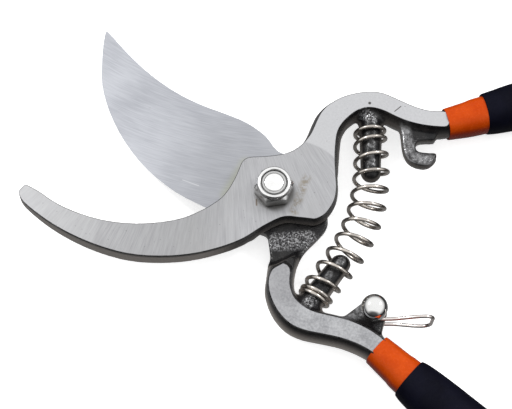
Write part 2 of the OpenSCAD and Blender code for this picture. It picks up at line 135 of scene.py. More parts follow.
def cut_flat(bm, z, up, bevel):
    """Grinds the mesh flat at height z, with a fine bevel round the ground face. The face takes
    the second material."""
    side = 1 if up else -1
    for level, clear in ((z - side * bevel, False), (z, True)):
        bmesh.ops.bisect_plane(bm, geom=bm.verts[:] + bm.edges[:] + bm.faces[:], dist=MERGE,
                               plane_co=(0, 0, level), plane_no=(0, 0, side), clear_outer=clear)
    bm.normal_update()
    rim = [e for e in bm.edges if len(e.link_faces) == 1]
    pushes = {v: Vector((v.normal.x, v.normal.y, 0)) for v in {v for e in rim for v in e.verts}}
    for v, push in pushes.items():
        if push.length > TINY:
            v.co -= push.normalized() * bevel
    filled = bmesh.ops.triangle_fill(bm, use_beauty=False, use_dissolve=False, edges=rim,
                                     normal=(0, 0, side))
    for item in filled["geom"]:
        if isinstance(item, bmesh.types.BMFace):
            item.material_index = 1
            if item.normal.z * side < 0:
                item.normal_flip()


def sharpen(mesh, degrees):
    """Marks edges sharp above an angle, and wherever two materials meet."""
    mesh.set_sharp_from_angle(angle=math.radians(degrees))
    edges = np.empty(len(mesh.loops), np.int32)
    mesh.loops.foreach_get("edge_index", edges)
    sides = np.empty(len(mesh.polygons), np.int32)
    mesh.polygons.foreach_get("loop_total", sides)
    slots = np.empty(len(mesh.polygons), np.int32)
    mesh.polygons.foreach_get("material_index", slots)
    slots = np.repeat(slots, sides)
    lowest = np.full(len(mesh.edges), slots.max())
    highest = np.zeros(len(mesh.edges), np.int32)
    np.minimum.at(lowest, edges, slots)
    np.maximum.at(highest, edges, slots)
    for i in np.nonzero(lowest != highest)[0]:
        mesh.edges[i].use_edge_sharp = True


def new_object(name, bm, materials, scale=MM, smooth_deg=40):
    """An object in the scene, smooth but for its sharp edges. The mesh given is used up."""
    mesh = bpy.data.meshes.new(name)
    bmesh.ops.scale(bm, vec=(scale,) * 3, verts=bm.verts[:])
    bm.to_mesh(mesh)
    bm.free()
    for material in materials:
        mesh.materials.append(material)
    mesh.shade_smooth()
    sharpen(mesh, smooth_deg)
    obj = bpy.data.objects.new(name, mesh)
    bpy.context.scene.collection.objects.link(obj)
    return obj


def unite(obj, other):
    """Joins another object's solid into an object. The other one is then removed."""
    modifier = obj.modifiers.new("join", "BOOLEAN")
    modifier.solver = "MANIFOLD"
    modifier.operation = "UNION"
    modifier.object = other
    depsgraph = bpy.context.evaluated_depsgraph_get()
    mesh = bpy.data.meshes.new_from_object(obj.evaluated_get(depsgraph), depsgraph=depsgraph)
    obj.modifiers.clear()
    obj.data = mesh
    bpy.data.objects.remove(other)


def place(obj, body, node):
    """A finished piece: rides on its body and stands for its CAD node."""
    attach(obj, body)
    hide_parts(node)


def spline(points, steps):
    """A smooth run through points, with that many steps a span."""
    p = [Vector(q) for q in points]
    out = []
    for i in range(len(p) - 1):
        a, b, c, d = p[max(i - 1, 0)], p[i], p[i + 1], p[min(i + 2, len(p) - 1)]
        for k in range(steps):
            t = k / steps
            out.append(0.5 * (2 * b + (c - a) * t + (2 * a - 5 * b + 4 * c - d) * t * t
                              + (3 * b - a - 3 * c + d) * t ** 3))
    return out + [p[-1]]


def bridge(bm, low, high):
    """Faces between two rings. Where a ring is one point on the axis they are triangles."""
    for k in range(len(low)):
        after = (k + 1) % len(low)
        corners = [low[k], low[after], high[after], high[k]]
        bm.faces.new([v for i, v in enumerate(corners) if v is not corners[i - 1]])


# Rings that round the end of a wire: share of its radius, and reach past the end in radii
WIRE_TIP = [(0.93, 0.05), (0.75, 0.12)]
WIRE_SIDES = 14


def sweep(path, radius):
    """A round wire along a path with closed, slightly rounded ends."""
    bm = bmesh.new()
    last = len(path) - 1
    turns = [2 * math.pi * k / WIRE_SIDES for k in range(WIRE_SIDES)]
    rings = []
    across = None
    for i, p in enumerate(path):
        along = (path[min(i + 1, last)] - path[max(i - 1, 0)]).normalized()
        if across is None:
            across = along.cross(Vector((0, 0, 1))).normalized()
        across = (across - along * across.dot(along)).normalized()
        other = along.cross(across)
        if i == 0:
            steps = [(share, -reach) for share, reach in reversed(WIRE_TIP)]
        else:
            steps = [(1, 0)] if i < last else WIRE_TIP
        for share, reach in steps:
            middle = p + along * radius * reach
            rings.append([bm.verts.new(middle + radius * share
                                       * (across * math.cos(a) + other * math.sin(a)))
                          for a in turns])
    for low, high in zip(rings, rings[1:]):
        bridge(bm, low, high)
    bm.faces.new(rings[0][::-1])
    bm.faces.new(rings[-1])
    bmesh.ops.recalc_face_normals(bm, faces=bm.faces[:])
    return bm


def turned(profile, centre, angles=96, start_deg=0):
    """A turned solid; profile(angle) gives radius and height pairs from axis to axis or a loop."""
    bm = bmesh.new()
    turns = [2 * math.pi * k / angles + math.radians(start_deg) for k in range(angles)]
    columns = [profile(a) for a in turns]
    rings = []
    for row, (first_r, first_z) in enumerate(columns[0]):
        if first_r < TINY:
            rings.append([bm.verts.new(centre + Vector((0, 0, first_z)))] * angles)
            continue
        ring = []
        for a, column in zip(turns, columns):
            r, z = column[row]
            ring.append(bm.verts.new(centre + Vector((r * math.cos(a), r * math.sin(a), z))))
        rings.append(ring)
    for low, high in zip(rings, rings[1:]):
        bridge(bm, low, high)
    if columns[0][0][0] > TINY:
        bridge(bm, rings[-1], rings[0])
    bmesh.ops.recalc_face_normals(bm, faces=bm.faces[:])
    return bm


def rounded(points, radius):
    """A profile with its inner corners rounded."""
    steps = 4
    out = [points[0]]
    for a, b, c in zip(points, points[1:], points[2:]):
        b2 = Vector(b)
        u, v = Vector(a) - b2, Vector(c) - b2
        r = min(radius, u.length * 0.45, v.length * 0.45)
        p, q = b2 + u.normalized() * r, b2 + v.normalized() * r
        for k in range(steps + 1):
            t = k / steps
            out.append(tuple(p * (1 - t) ** 2 + b2 * 2 * t * (1 - t) + q * t * t))
    return out + [points[-1]]


# ---------------------------------------------------------------- material helpers

class Paint:
    """A node material with short calls for the nodes used here."""

    def __init__(self, name, **sockets):
        self.material = bpy.data.materials.new(name)
        self.material.use_nodes = True
        self.tree = self.material.node_tree
        self.shader = self.tree.nodes["Principled BSDF"]
        self.where = self.node("ShaderNodeTexCoord").outputs["Object"]
        for key, value in sockets.items():
            self.shader.inputs[key.replace("_", " ")].default_value = value

    def node(self, kind, **values):
        node = self.tree.nodes.new(kind)
        for key, value in values.items():
            setattr(node, key, value)
        return node

    def put(self, socket, value):
        """Links a socket to another one or sets its value."""
        if isinstance(value, bpy.types.NodeSocket):
            self.tree.links.new(value, socket)
        elif socket.type == "RGBA" and len(value) == 3:
            socket.default_value = (*value, 1)
        else:
            socket.default_value = value

    def maths(self, operation, a, b=0.0):
        node = self.node("ShaderNodeMath", operation=operation)
        for socket, value in zip(node.inputs, (a, b)):
            self.put(socket, value)
        return node.outputs[0]

    def times(self, a, b):
        return self.maths("MULTIPLY", a, b)

    def plus(self, a, b):
        return self.maths("ADD", a, b)

    def minus(self, a, b):
        return self.maths("SUBTRACT", a, b)

    def most(self, a, b):
        return self.maths("MAXIMUM", a, b)

    def absolute(self, a):
        return self.maths("ABSOLUTE", a)

    def weigh(self, a, b, share):
        """A share of one value and the rest of another."""
        return self.plus(self.times(a, share), self.times(b, 1 - share))

    def ramp(self, value, low, high, out_low=0.0, out_high=1.0):
        """Eases from one value to another as the input goes from low to high, or high to low."""
        node = self.node("ShaderNodeMapRange", interpolation_type="SMOOTHSTEP")
        for key, v in (("Value", value), ("From Min", low), ("From Max", high),
                       ("To Min", out_low), ("To Max", out_high)):
            self.put(node.inputs[key], v)
        return node.outputs[0]

    def mix(self, factor, a, b):
        """Colour a where the factor is 0 and b where it is 1."""
        node = self.node("ShaderNodeMix", data_type="RGBA")
        self.put(node.inputs["Factor"], factor)
        self.put(node.inputs["A"], a)
        self.put(node.inputs["B"], b)
        return node.outputs["Result"]

    def tinted(self, base, colour, mask, amount):
        """The base colour moved by an amount towards another one, where the mask is 1."""
        return self.mix(self.times(mask, amount), base, colour)

    def noise(self, size_mm, detail=3.0, rough=0.55, vector=None):
        """Noise of about one feature in size_mm, as a 0-1 value."""
        node = self.node("ShaderNodeTexNoise")
        self.put(node.inputs["Scale"], 1 / MM / size_mm)
        self.put(node.inputs["Detail"], detail)
        self.put(node.inputs["Roughness"], rough)
        self.put(node.inputs["Vector"], vector or self.where)
        return node.outputs["Fac"]

    def xyz(self, vector=None):
        node = self.node("ShaderNodeSeparateXYZ")
        self.put(node.inputs[0], vector or self.where)
        return node.outputs

    def join(self, x, y, z):
        node = self.node("ShaderNodeCombineXYZ")
        for socket, value in zip(node.inputs, (x, y, z)):
            self.put(socket, value)
        return node.outputs[0]

    def facing(self):
        """How far the surface faces up: 1 up, 0 sideways, -1 down."""
        return self.xyz(self.node("ShaderNodeNewGeometry").outputs["Normal"])[2]

    def distance(self, x, y):
        """Distance in millimetres from a vertical line, given in millimetres."""
        p = self.xyz()
        node = self.node("ShaderNodeVectorMath", operation="DISTANCE")
        self.put(node.inputs[0], self.join(p[0], p[1], 0.0))
        self.put(node.inputs[1], (x * MM, y * MM, 0))
        return self.times(node.outputs["Value"], 1 / MM)

    def near_line(self, ax, ay, bx, by):
        """Distance in millimetres from the flat line between two points."""
        p = self.xyz()
        dx, dy = bx - ax, by - ay
        length = math.hypot(dx, dy)
        px = self.minus(self.times(p[0], 1 / MM), ax)
        py = self.minus(self.times(p[1], 1 / MM), ay)
        along = self.plus(self.times(px, dx / length), self.times(py, dy / length))
        across = self.minus(self.times(py, dx / length), self.times(px, dy / length))
        past = self.minus(self.absolute(self.minus(along, length / 2)), length / 2)
        past = self.most(past, 0.0)
        return self.maths("SQRT", self.plus(self.times(past, past), self.times(across, across)))

    def spots(self, lines):
        """Soft spots along flat lines given as x, y, x, y and reach, as one 0-1 value."""
        total = None
        for ax, ay, bx, by, reach in lines:
            spot = self.ramp(self.near_line(ax, ay, bx, by), reach, reach * 0.5)
            total = spot if total is None else self.most(total, spot)
        return total

    def polar(self, x, y):
        """Angle and radius about a centre. The angle is the arc in metres at 100 mm radius."""
        p = self.xyz()
        px = self.minus(p[0], x * MM)
        py = self.minus(p[1], y * MM)
        radius = self.maths("SQRT", self.plus(self.times(px, px), self.times(py, py)))
        return self.times(self.maths("ARCTAN2", py, px), 0.1), radius

    def bump(self, height, depth_mm, strength=1.0):
        """Bump from a 0-1 height, chained onto any bump already there."""
        node = self.node("ShaderNodeBump")
        node.inputs["Strength"].default_value = strength
        node.inputs["Distance"].default_value = depth_mm * MM
        self.tree.links.new(height, node.inputs["Height"])
        old = self.shader.inputs["Normal"].links
        if old:
            self.tree.links.new(old[0].from_socket, node.inputs["Normal"])
        self.tree.links.new(node.outputs[0], self.shader.inputs["Normal"])

    def set(self, socket, value):
        self.put(self.shader.inputs[socket], value)


def brushed(paint, along, across, fine, coarse):
    """Fine and coarse brush lines, in millimetres, that run along one coordinate, as a 0-1 value."""
    stretch = 0.05
    lines = paint.noise(fine, 2.0, 0.6, paint.join(paint.times(along, stretch), across, 0.0))
    broad = paint.noise(coarse, 2.0, 0.5, paint.join(paint.times(along, stretch * 1.6), across, 3.0))
    return paint.weigh(lines, broad, 0.62)


# ---------------------------------------------------------------- materials

# Places in millimetres that the materials mark
BLADE_BRUSH = (-15, 138)          # centre of the arcs along which the blade is brushed
HOOK_BRUSH = (-24, 57)            # centre to which the hook's brush lines point
PLATE = (5, -2)
PLATE_R = 19.6
PIVOT = (0, 0)
BLADE_STAIN = (-14, -2, -10, 9)
BLADE_SCRATCH = (-28.5, 0.8, -23.3, -0.3)
PLATE_RUST = (9.2, 5.5, 7.0, -6)
RUST_DRIP = (-4.7, -4.0, -4.4, -5.7)
ARCH_PIT = (25, 33.3)
ARCH_CUT = (33, 31.7, 34.7, 33.7)


def ground_blade():
    """The blade's flat face: satin steel with hairline brush marks in long arcs."""
    paint = Paint("blade_ground_steel", Metallic=1.0)
    angle, radius = paint.polar(*BLADE_BRUSH)
    lines = brushed(paint, angle, radius, 0.3, 0.55)
    cloud = paint.noise(20.0, 2.0, 0.5)
    tone = paint.weigh(lines, cloud, 0.6)
    base = paint.mix(paint.ramp(tone, 0.3, 0.7), (0.325, 0.333, 0.363), (0.48, 0.492, 0.525))
    # Painted shade: the blade is drawn darker towards the pivot, where the plate lies over it
    painted_hub_shade = paint.ramp(paint.distance(*PIVOT), 45.0, 15.0)
    base = paint.tinted(base, (0.2, 0.2, 0.2), painted_hub_shade, 0.2)
    stain = paint.ramp(paint.near_line(*BLADE_STAIN), 3.5, 0.5)
    base = paint.tinted(base, (0.385, 0.4, 0.293), stain, 0.5)
    worn = paint.ramp(paint.noise(2.4, 4.0, 0.7), 0.66, 0.74)
    base = paint.tinted(base, (0.277, 0.269, 0.262), worn, 0.2)
    scratch = paint.ramp(paint.near_line(*BLADE_SCRATCH), 0.2, 0.04)
    base = paint.tinted(base, (0.616, 0.624, 0.639), scratch, 0.6)
    paint.set("Base Color", base)
    paint.set("Roughness", paint.ramp(lines, 0.3, 0.7, 0.46, 0.38))
    paint.bump(lines, 0.005)
    return paint.material


def ground_plate():
    """Top of the hook arm: brush marks on the hook and plate, fine satin on the handle, a few
    pits, scratches and a rust stain beside the nut."""
    paint = Paint("hook_ground_steel", Metallic=1.0)
    angle, radius = paint.polar(*HOOK_BRUSH)
    lines = brushed(paint, radius, angle, 0.3, 0.9)
    grain = paint.noise(0.7, 4.0, 0.75)
    plate = paint.ramp(paint.distance(*PLATE), PLATE_R, PLATE_R - 0.7)
    lined = paint.most(plate, paint.ramp(paint.xyz()[0], 3 * MM, 1 * MM))
    satin = paint.plus(paint.times(grain, 0.9), 0.05)
    height = paint.mix(lined, satin, lines)
    base = paint.mix(paint.ramp(height, 0.25, 0.75), (0.34, 0.34, 0.354), (0.49, 0.494, 0.506))
    tip = paint.ramp(paint.xyz()[0], -50.4 * MM, -51.4 * MM)
    base = paint.tinted(base, (0.539, 0.543, 0.554), tip, 0.3)
    hook = paint.ramp(paint.xyz()[0], -4 * MM, -24 * MM)
    base = paint.tinted(base, (0.13, 0.128, 0.125), hook, 0.32)
    cloud = paint.ramp(paint.noise(14.0, 3.0), 0.45, 0.7)
    base = paint.tinted(base, (0.385, 0.385, 0.377), cloud, 0.2)
    base = paint.tinted(base, (0.66, 0.665, 0.68), paint.minus(1.0, lined), 0.45)
    rust = paint.times(paint.ramp(paint.near_line(*PLATE_RUST), 2.0, 0.3),
                       paint.ramp(paint.noise(1.8, 4.0, 0.7), 0.4, 0.6))
    base = paint.tinted(base, (0.2, 0.155, 0.085), rust, 0.6)
    drip = paint.ramp(paint.near_line(*RUST_DRIP), 0.4, 0.1)
    base = paint.tinted(base, (0.154, 0.1, 0.062), drip, 0.75)
    # Painted contact shadow, with some dirt: a dark ring on the plate round the nut's foot
    nut_shadow_and_dirt = paint.ramp(paint.distance(0.3, -0.4), 6.9, 5.2)
    base = paint.tinted(base, (0.1, 0.095, 0.085), nut_shadow_and_dirt, 0.7)
    pit = paint.ramp(paint.distance(*ARCH_PIT), 0.6, 0.3)
    cut = paint.ramp(paint.near_line(*ARCH_CUT), 0.2, 0.08)
    specks = paint.times(paint.ramp(paint.noise(0.7, 1.0, 0.5), 0.74, 0.77), 0.5)
    dark = paint.most(paint.most(specks, pit), cut)
    paint.set("Base Color", paint.mix(dark, base, (0.046, 0.042, 0.039)))
    paint.set("Metallic", paint.minus(1.0, dark))
    paint.set("Roughness", paint.ramp(height, 0.3, 0.7, 0.46, 0.38))
    paint.bump(height, 0.006)
    return paint.material


def ground_handle():
    """Top face of the lower handle: fine satin, darker towards its rounded end."""
    paint = Paint("handle_ground_steel", Metallic=1.0)
    grain = paint.noise(0.7, 4.0, 0.75)
    cloud = paint.noise(9.0, 3.0, 0.6)
    tone = paint.weigh(grain, cloud, 0.55)
    base = paint.mix(paint.ramp(tone, 0.35, 0.65), (0.27, 0.272, 0.285), (0.48, 0.485, 0.498))
    near_end = paint.ramp(paint.distance(*FACE_END), 16.0, 5.0)
    paint.set("Base Color", paint.tinted(base, (0.262, 0.258, 0.269), near_end, 0.4))
    paint.set("Roughness", paint.ramp(tone, 0.3, 0.7, 0.5, 0.4))
    paint.bump(grain, 0.008)
    return paint.material


def forged(name, sparkle_lines, wear_and_highlight_lines, painted_side_sheen):
    """Black forge scale with silvery rubbed grain, a bright trimmed flash line, worn bare spots,
    painted highlights on the studs and a painted grey sheen on the lower sides."""
    paint = Paint(name, Specular_IOR_Level=0.34)
    x, y, height = paint.xyz()
    facing = paint.facing()
    steep = paint.ramp(paint.absolute(facing), 0.7, 0.3)
    broad = paint.noise(4.0, 4.0, 0.6)
    grain = paint.noise(0.7, 4.0, 0.75)
    base = paint.mix(paint.ramp(broad, 0.35, 0.7), (0.004, 0.004, 0.005), (0.018, 0.017, 0.017))

    # Painted sheen: grey on the lower half of the handle's sides and on the side of the hook, for light on
    # them
    low = paint.times(paint.ramp(height, (TOP_Z - 0.8) * MM, (PART_Z - 0.5) * MM), steep)
    low = paint.times(low, paint.ramp(y, -18 * MM, -27 * MM, 0.4, 1.0))
    painted_hook_sheen = paint.times(paint.ramp(x, -4 * MM, -20 * MM, 0.0, 0.9),
                      paint.ramp(height, (TOP_Z - 0.3) * MM, (TOP_Z - 1.6) * MM))
    base = paint.tinted(base, (0.46, 0.42, 0.39), paint.most(low, painted_hook_sheen), painted_side_sheen)

    # Bare steel: the flash line, rubbed grain, worn spots and a few stray grains; the spots on the studs
    # are painted highlights
    from_parting = paint.absolute(paint.minus(height, (PART_Z - 0.1) * MM))
    flash = paint.times(paint.ramp(from_parting, 0.4 * MM, 0.2 * MM),
                        paint.ramp(paint.absolute(facing), 0.85, 0.6))
    upward = paint.plus(paint.times(paint.ramp(facing, 0.3, 0.8), 0.85), 0.15)
    rubbed = paint.ramp(paint.noise(0.55, 3.0, 0.8), 0.45, 0.66)
    sparkle = paint.times(paint.times(paint.spots(sparkle_lines), upward), rubbed)
    worn = paint.times(paint.times(paint.spots(wear_and_highlight_lines), upward),
                       paint.ramp(paint.noise(1.6, 5.0, 0.7), 0.36, 0.66, 0.04, 0.68))
    stray = paint.times(paint.ramp(paint.noise(1.2, 5.0, 0.8), 0.68, 0.72), 0.3)
    bright = paint.most(paint.most(sparkle, worn), paint.most(stray, paint.times(flash, 0.7)))
    paint.set("Base Color", paint.mix(bright, base, (0.44, 0.44, 0.45)))
    paint.set("Metallic", bright)
    paint.set("Roughness", paint.ramp(grain, 0.3, 0.7, 0.13, 0.3))
    paint.bump(broad, 0.35, 0.7)
    paint.bump(grain, 0.05, 0.7)
    paint.bump(rubbed, 0.03, 0.5)
    return paint.material


def polished(name, tint, roughness, streak=0.12):
    """Bright plated or polished steel with faint handling marks."""
    paint = Paint(name, Metallic=1.0)
    marks = paint.noise(1.4, 5.0, 0.7)
    cloud = paint.noise(5.0, 2.0, 0.5)
    dull = tuple(c * (1 - 2.2 * streak) for c in tint)
    paint.set("Base Color", paint.mix(paint.ramp(cloud, 0.35, 0.7), tint, dull))
    paint.set("Roughness", paint.ramp(marks, 0.4, 0.75, roughness, roughness + streak))
    paint.bump(marks, 0.01, 0.5)
    return paint.material


def nut_plate():
    """Bright zinc on top of the nut, with painted shade on its flanks, painted contact shadow and dirt
    round its foot, and painted shade in its bore.
    """
    paint = Paint("nut_plate", Metallic=1.0)
    # Painted shade: the flanks are drawn dark because they face sideways
    painted_flank_shade = paint.ramp(paint.facing(), 0.6, 0.1)
    # Painted contact shadow, with some dirt: the flanks darken further near the plate
    foot = paint.ramp(paint.xyz()[2], (TOP_Z + 1.6) * MM, (TOP_Z + 0.1) * MM)
    marks = paint.noise(1.2, 5.0, 0.7)
    base = paint.mix(paint.ramp(marks, 0.35, 0.7), (0.97, 0.97, 0.97), (0.82, 0.82, 0.81))
    base = paint.tinted(base, (0.11, 0.105, 0.095), painted_flank_shade, 0.9)
    base = paint.tinted(base, (0.03, 0.025, 0.02), paint.times(foot, painted_flank_shade), 0.8)
    # Painted shade in the nut's groove and bore, round the bolt
    painted_bore_shade = paint.ramp(paint.distance(*PIVOT), 4.1, 3.85)
    paint.set("Base Color", paint.mix(painted_bore_shade, base, (0.05, 0.05, 0.05)))
    paint.set("Roughness", paint.ramp(marks, 0.4, 0.75, 0.14, 0.28))
    paint.bump(marks, 0.008, 0.5)
    return paint.material


def vinyl_orange():
    """Dipped orange coat: smooth, soft gloss, slightly uneven, with painted shade underneath."""
    paint = Paint("orange_coat", Specular_IOR_Level=0.12)
    cloud = paint.noise(7.0, 3.0, 0.55)
    fine = paint.noise(0.8, 3.0, 0.6)
    tone = paint.weigh(cloud, fine, 0.7)
    base = paint.mix(paint.ramp(tone, 0.3, 0.7), (0.53, 0.05, 0.0), (0.65, 0.078, 0.004))
    # Painted shade: the coat is drawn deeper red where it faces sideways and down
    under = paint.ramp(paint.facing(), 0.5, 0.05)
    paint.set("Base Color", paint.tinted(base, (0.2, 0.008, 0.0), under, 0.8))
    paint.set("Roughness", paint.ramp(fine, 0.3, 0.7, 0.2, 0.3))
    paint.bump(cloud, 0.08, 0.5)
    paint.bump(fine, 0.012, 0.6)
    return paint.material


def vinyl_black():
    """Outer grip: matte blue-black vinyl with a fine pebbled skin."""
    paint = Paint("black_sleeve", Specular_IOR_Level=0.08)
    pebble = paint.noise(0.45, 2.0, 0.5)
    cloud = paint.noise(6.0, 3.0, 0.5)
    dust = paint.ramp(paint.noise(2.5, 5.0, 0.75), 0.55, 0.8)
    base = paint.mix(paint.ramp(cloud, 0.3, 0.7), (0.0015, 0.0016, 0.006), (0.003, 0.0032, 0.01))
    paint.set("Base Color", paint.tinted(base, (0.08, 0.08, 0.1), dust, 0.05))
    paint.set("Roughness", paint.ramp(pebble, 0.3, 0.7, 0.55, 0.72))
    paint.bump(pebble, 0.05, 0.5)
    paint.bump(cloud, 0.12, 0.4)
    return paint.material


def nylon():
    """The nut's locking ring: off-white nylon."""
    paint = Paint("nut_nylon", Specular_IOR_Level=0.4)
    fine = paint.noise(0.6, 3.0, 0.6)
    paint.set("Base Color", paint.mix(fine, (0.42, 0.42, 0.42), (0.55, 0.55, 0.54)))
    paint.set("Roughness", paint.ramp(fine, 0.3, 0.7, 0.4, 0.55))
    paint.bump(fine, 0.02, 0.5)
    return paint.material


def floor_paper():
    """Plain pale studio paper."""
    paint = Paint("studio_paper", Roughness=0.9, Specular_IOR_Level=0.1, Emission_Strength=0.65,
                  Emission_Color=(1, 1, 1, 1))
    fibre = paint.noise(3.0, 4.0, 0.6)
    paint.set("Base Color", paint.mix(fibre, (0.9, 0.9, 0.9), (0.93, 0.93, 0.93)))
    return paint.material


# ---------------------------------------------------------------- forgings

VOXEL = 0.4           # grid of the fine forging meshes
FILLET = 1.1          # fillets where the studs, the catch and the ear leave the arms
EDGE = 0.35           # round edges of a forging
GRIND = 1.5           # how far the ground faces are raised before they are cut flat
NEAR = 0.05           # how close to a ground face a point counts as part of it
CHAMFER = 0.16
FLASH_H = 0.28        # ridge left where the two dies met
FLASH_REACH = 0.55
PLATE_END_X = 16      # the hook plate is thinner than the handle as far as this
FACE_END = (5.9, -25.6)       # centre of the rounded end of the lower handle's top face
FACE_END_R = 3.05
FACE_END_SLOPE = 1.3
FACE_END_DROP = 1.4
CATCH_SLOT = (44.5, 22.8)      # the trimmed slot of the catch, where the bail's bar sits
CATCH_SLOT_R = 4.5


def forging_mesh(node):
    """A forging with fillets and round edges, and material to spare on its ground faces."""
    points, tris = cad_mesh(node)
    points[points[:, 2] > TOP_Z - NEAR, 2] += GRIND
    points[points[:, 2] < BOTTOM_Z + NEAR, 2] -= GRIND
    faces = [tuple(t) for t in tris]
    points, faces = offset_twice(points, faces, VOXEL * 0.8, FILLET)
    points, faces = offset_twice(points, faces, VOXEL, -EDGE)
    return relax(points, faces, 3), faces


def with_flash(points, faces):
    """The mesh with a thin ridge pushed out along the parting plane, but not in the slot."""
    bm = to_bmesh(points, faces)
    for v in bm.verts:
        lift = 1 - abs(v.co.z - PART_Z) / FLASH_REACH
        flat = Vector((v.normal.x, v.normal.y, 0))
        in_slot = (v.co.xy - Vector(CATCH_SLOT)).length < CATCH_SLOT_R
        if lift > 0 and flat.length > 0.6 and not in_slot:
            v.co += flat.normalized() * FLASH_H * lift
    return bm


def hook_arm():
    """The hook, plate, upper handle, stud and catch as one forging with a ground top."""
    points, faces = forging_mesh("hook_arm")
    under = (points[:, 0] < PLATE_END_X) & (points[:, 2] < PLATE_Z)
    points[under, 2] = PLATE_Z
    bm = with_flash(points, faces)
    cut_flat(bm, TOP_Z, True, CHAMFER)
    cut_flat(bm, BOTTOM_Z, False, CHAMFER)
    # Along the root of the stud, the side of the arch and the catch
    sparkle = [(23.5, 30.5, 26.5, 29, 2.1), (17, 27, 20, 31, 1.6), (37.5, 25, 38.8, 21, 1.7),
               (41, 18.6, 45.5, 18.6, 1.4)]
    # Worn over the catch; two painted highlights on the stud
    worn = [(36.5, 27, 38.5, 21, 3.0), (40, 18.5, 46, 18.5, 2.2), (27.2, 21, 27.3, 20.4, 1.5),
            (28, 16.2, 28.2, 14.4, 1.2)]
    materials = [forged("hook_forge_scale", sparkle, worn, 0.8), ground_plate()]
    place(new_object("hook_arm_forging", bm, materials), "hook_side", "hook_arm")


def blade_half(shift, keep_left):
    """The cutting plane between the crisp blade and the filleted shank, hidden by the plate."""
    return dict(plane_co=(shift, 0.9, 0), plane_no=Vector((25.5, -8, 0)).normalized(),
                clear_outer=keep_left, clear_inner=not keep_left)


def cut_and_cap(bm, **plane):
    """Keeps one side of a plane and closes the cut."""
    bmesh.ops.bisect_plane(bm, geom=bm.verts[:] + bm.edges[:] + bm.faces[:], dist=MERGE, **plane)
    rim = [e for e in bm.edges if len(e.link_faces) == 1]
    bmesh.ops.triangle_fill(bm, use_beauty=False, use_dissolve=False, edges=rim)
    bmesh.ops.recalc_face_normals(bm, faces=bm.faces[:])


def blade_arm():
    """The blade, kept crisp, joined to the forging of the shank, lower handle, stud and ear."""
    points, faces = forging_mesh("blade_arm")
    out = np.hypot(points[:, 0] - FACE_END[0], points[:, 1] - FACE_END[1]) - FACE_END_R
    ahead = (points[:, 1] > FACE_END[1]) & (out > 0)
    fall = np.maximum(TOP_Z + NEAR - FACE_END_SLOPE * out[ahead], TOP_Z - FACE_END_DROP)
    points[ahead, 2] = np.minimum(points[ahead, 2], fall)
    bm = with_flash(points, faces)
    cut_flat(bm, TOP_Z, True, 2 * CHAMFER)
    cut_flat(bm, BOTTOM_Z, False, CHAMFER)
    # Across the shank and at the root of the stud
    sparkle = [(3.2, -14.6, 12.2, -12.4, 3.6), (14.5, -34.5, 16.5, -32, 2.2)]
    # Worn on the ear; two painted highlights on the stud
    worn = [(27.5, -34.5, 31.5, -32, 3.2), (22.8, -19.4, 23.5, -18.2, 1.4),
            (20, -24.2, 20.5, -23.2, 1.2)]
    materials = [forged("blade_forge_scale", sparkle, worn, 1.0), ground_handle(), ground_blade()]
    cut_and_cap(bm, **blade_half(0, False))
    arm = new_object("blade_arm_forging", bm, materials)

    points, tris = cad_mesh("blade_arm")
    blade = to_bmesh(points, [tuple(int(i) for i in t) for t in tris])
    bmesh.ops.remove_doubles(blade, verts=blade.verts[:], dist=10 * MERGE)
    for f in blade.faces:
        f.material_index = len(materials) - 1
    cut_and_cap(blade, **blade_half(0.4, True))
    unite(arm, new_object("blade_half", blade, materials))
    sharpen(arm.data, 30)
    place(arm, "blade_side", "blade_arm")


# ---------------------------------------------------------------- pivot hardware

NUT_AF = 10           # across the flats
NUT_H = 6.5
NUT_TURN = 17         # degrees
NUT_FULLER = 0.6      # how much wider the nut is drawn than its CAD solid
HEAD_AF = 13
THREAD_R = 3
SHANK_R = 4
COLLAR_R = 4.55       # middle of the nut's rolled collar
COLLAR_W = 0.6
GAP = 0.01


def hex_radius(angle, across_flats):
    """Radius of a hexagon with slightly rounded corners."""
    corner = 0.15
    a = (angle - math.radians(NUT_TURN) + math.pi / 6) % (math.pi / 3) - math.pi / 6
    flat = across_flats / 2 / math.cos(math.pi / 6 - abs(a))
    return min(flat, across_flats / math.sqrt(3) - corner)


def pivot_nut():
    """A hexagon with chamfered corners at both ends, a rolled collar and a nylon groove."""
    hex_top = NUT_H - 1.9
    groove_r = THREAD_R + 1.1
    slope = math.tan(math.radians(30))
    edge_r, edge_z = 0.12, 0.15
    crown = [(COLLAR_R + COLLAR_W * math.cos(a), NUT_H - COLLAR_W + COLLAR_W * math.sin(a))
             for a in [math.pi * k / 12 for k in range(13)]]

    def profile(angle):
        r = hex_radius(angle, NUT_AF + NUT_FULLER)
        drop = max(0.0, r - NUT_AF / 2) * slope
        foot = [(THREAD_R, 0.4), (THREAD_R + 0.4, 0), (NUT_AF / 2 - 0.25, 0)]
        side = [(r - edge_r, drop * 0.7), (r, drop * 0.7 + edge_z), (r, hex_top - drop - edge_z),
                (r - edge_r, hex_top - drop), (COLLAR_R + COLLAR_W, hex_top + 0.05)]
        groove = [(COLLAR_R - COLLAR_W, NUT_H - 1.0), (groove_r, NUT_H - 1.1),
                  (groove_r, NUT_H - 1.6), (THREAD_R, NUT_H - 1.7)]
        return foot + side + crown + groove

    bm = turned(profile, Vector((0, 0, TOP_Z + GAP)), 144, NUT_TURN)
    obj = new_object("lock_nut", bm, [nut_plate()], smooth_deg=35)
    place(obj, "hook_side", "pivot_nut")


def nut_insert():
    """A flanged nylon ring in the nut's groove, heights below the top of the nut."""
    outline = [(THREAD_R + 0.01, -1.56), (THREAD_R + 1.07, -1.56), (THREAD_R + 1.07, -1.2),
               (THREAD_R + 0.6, -1.15), (THREAD_R + 0.6, -0.3), (THREAD_R + 0.45, -0.18),
               (THREAD_R + 0.05, -0.3)]
    bm = turned(lambda angle: rounded(outline, 0.12), Vector((0, 0, TOP_Z + NUT_H)))
    place(new_object("nylon_ring", bm, [nylon()]), "hook_side", "nut_insert")


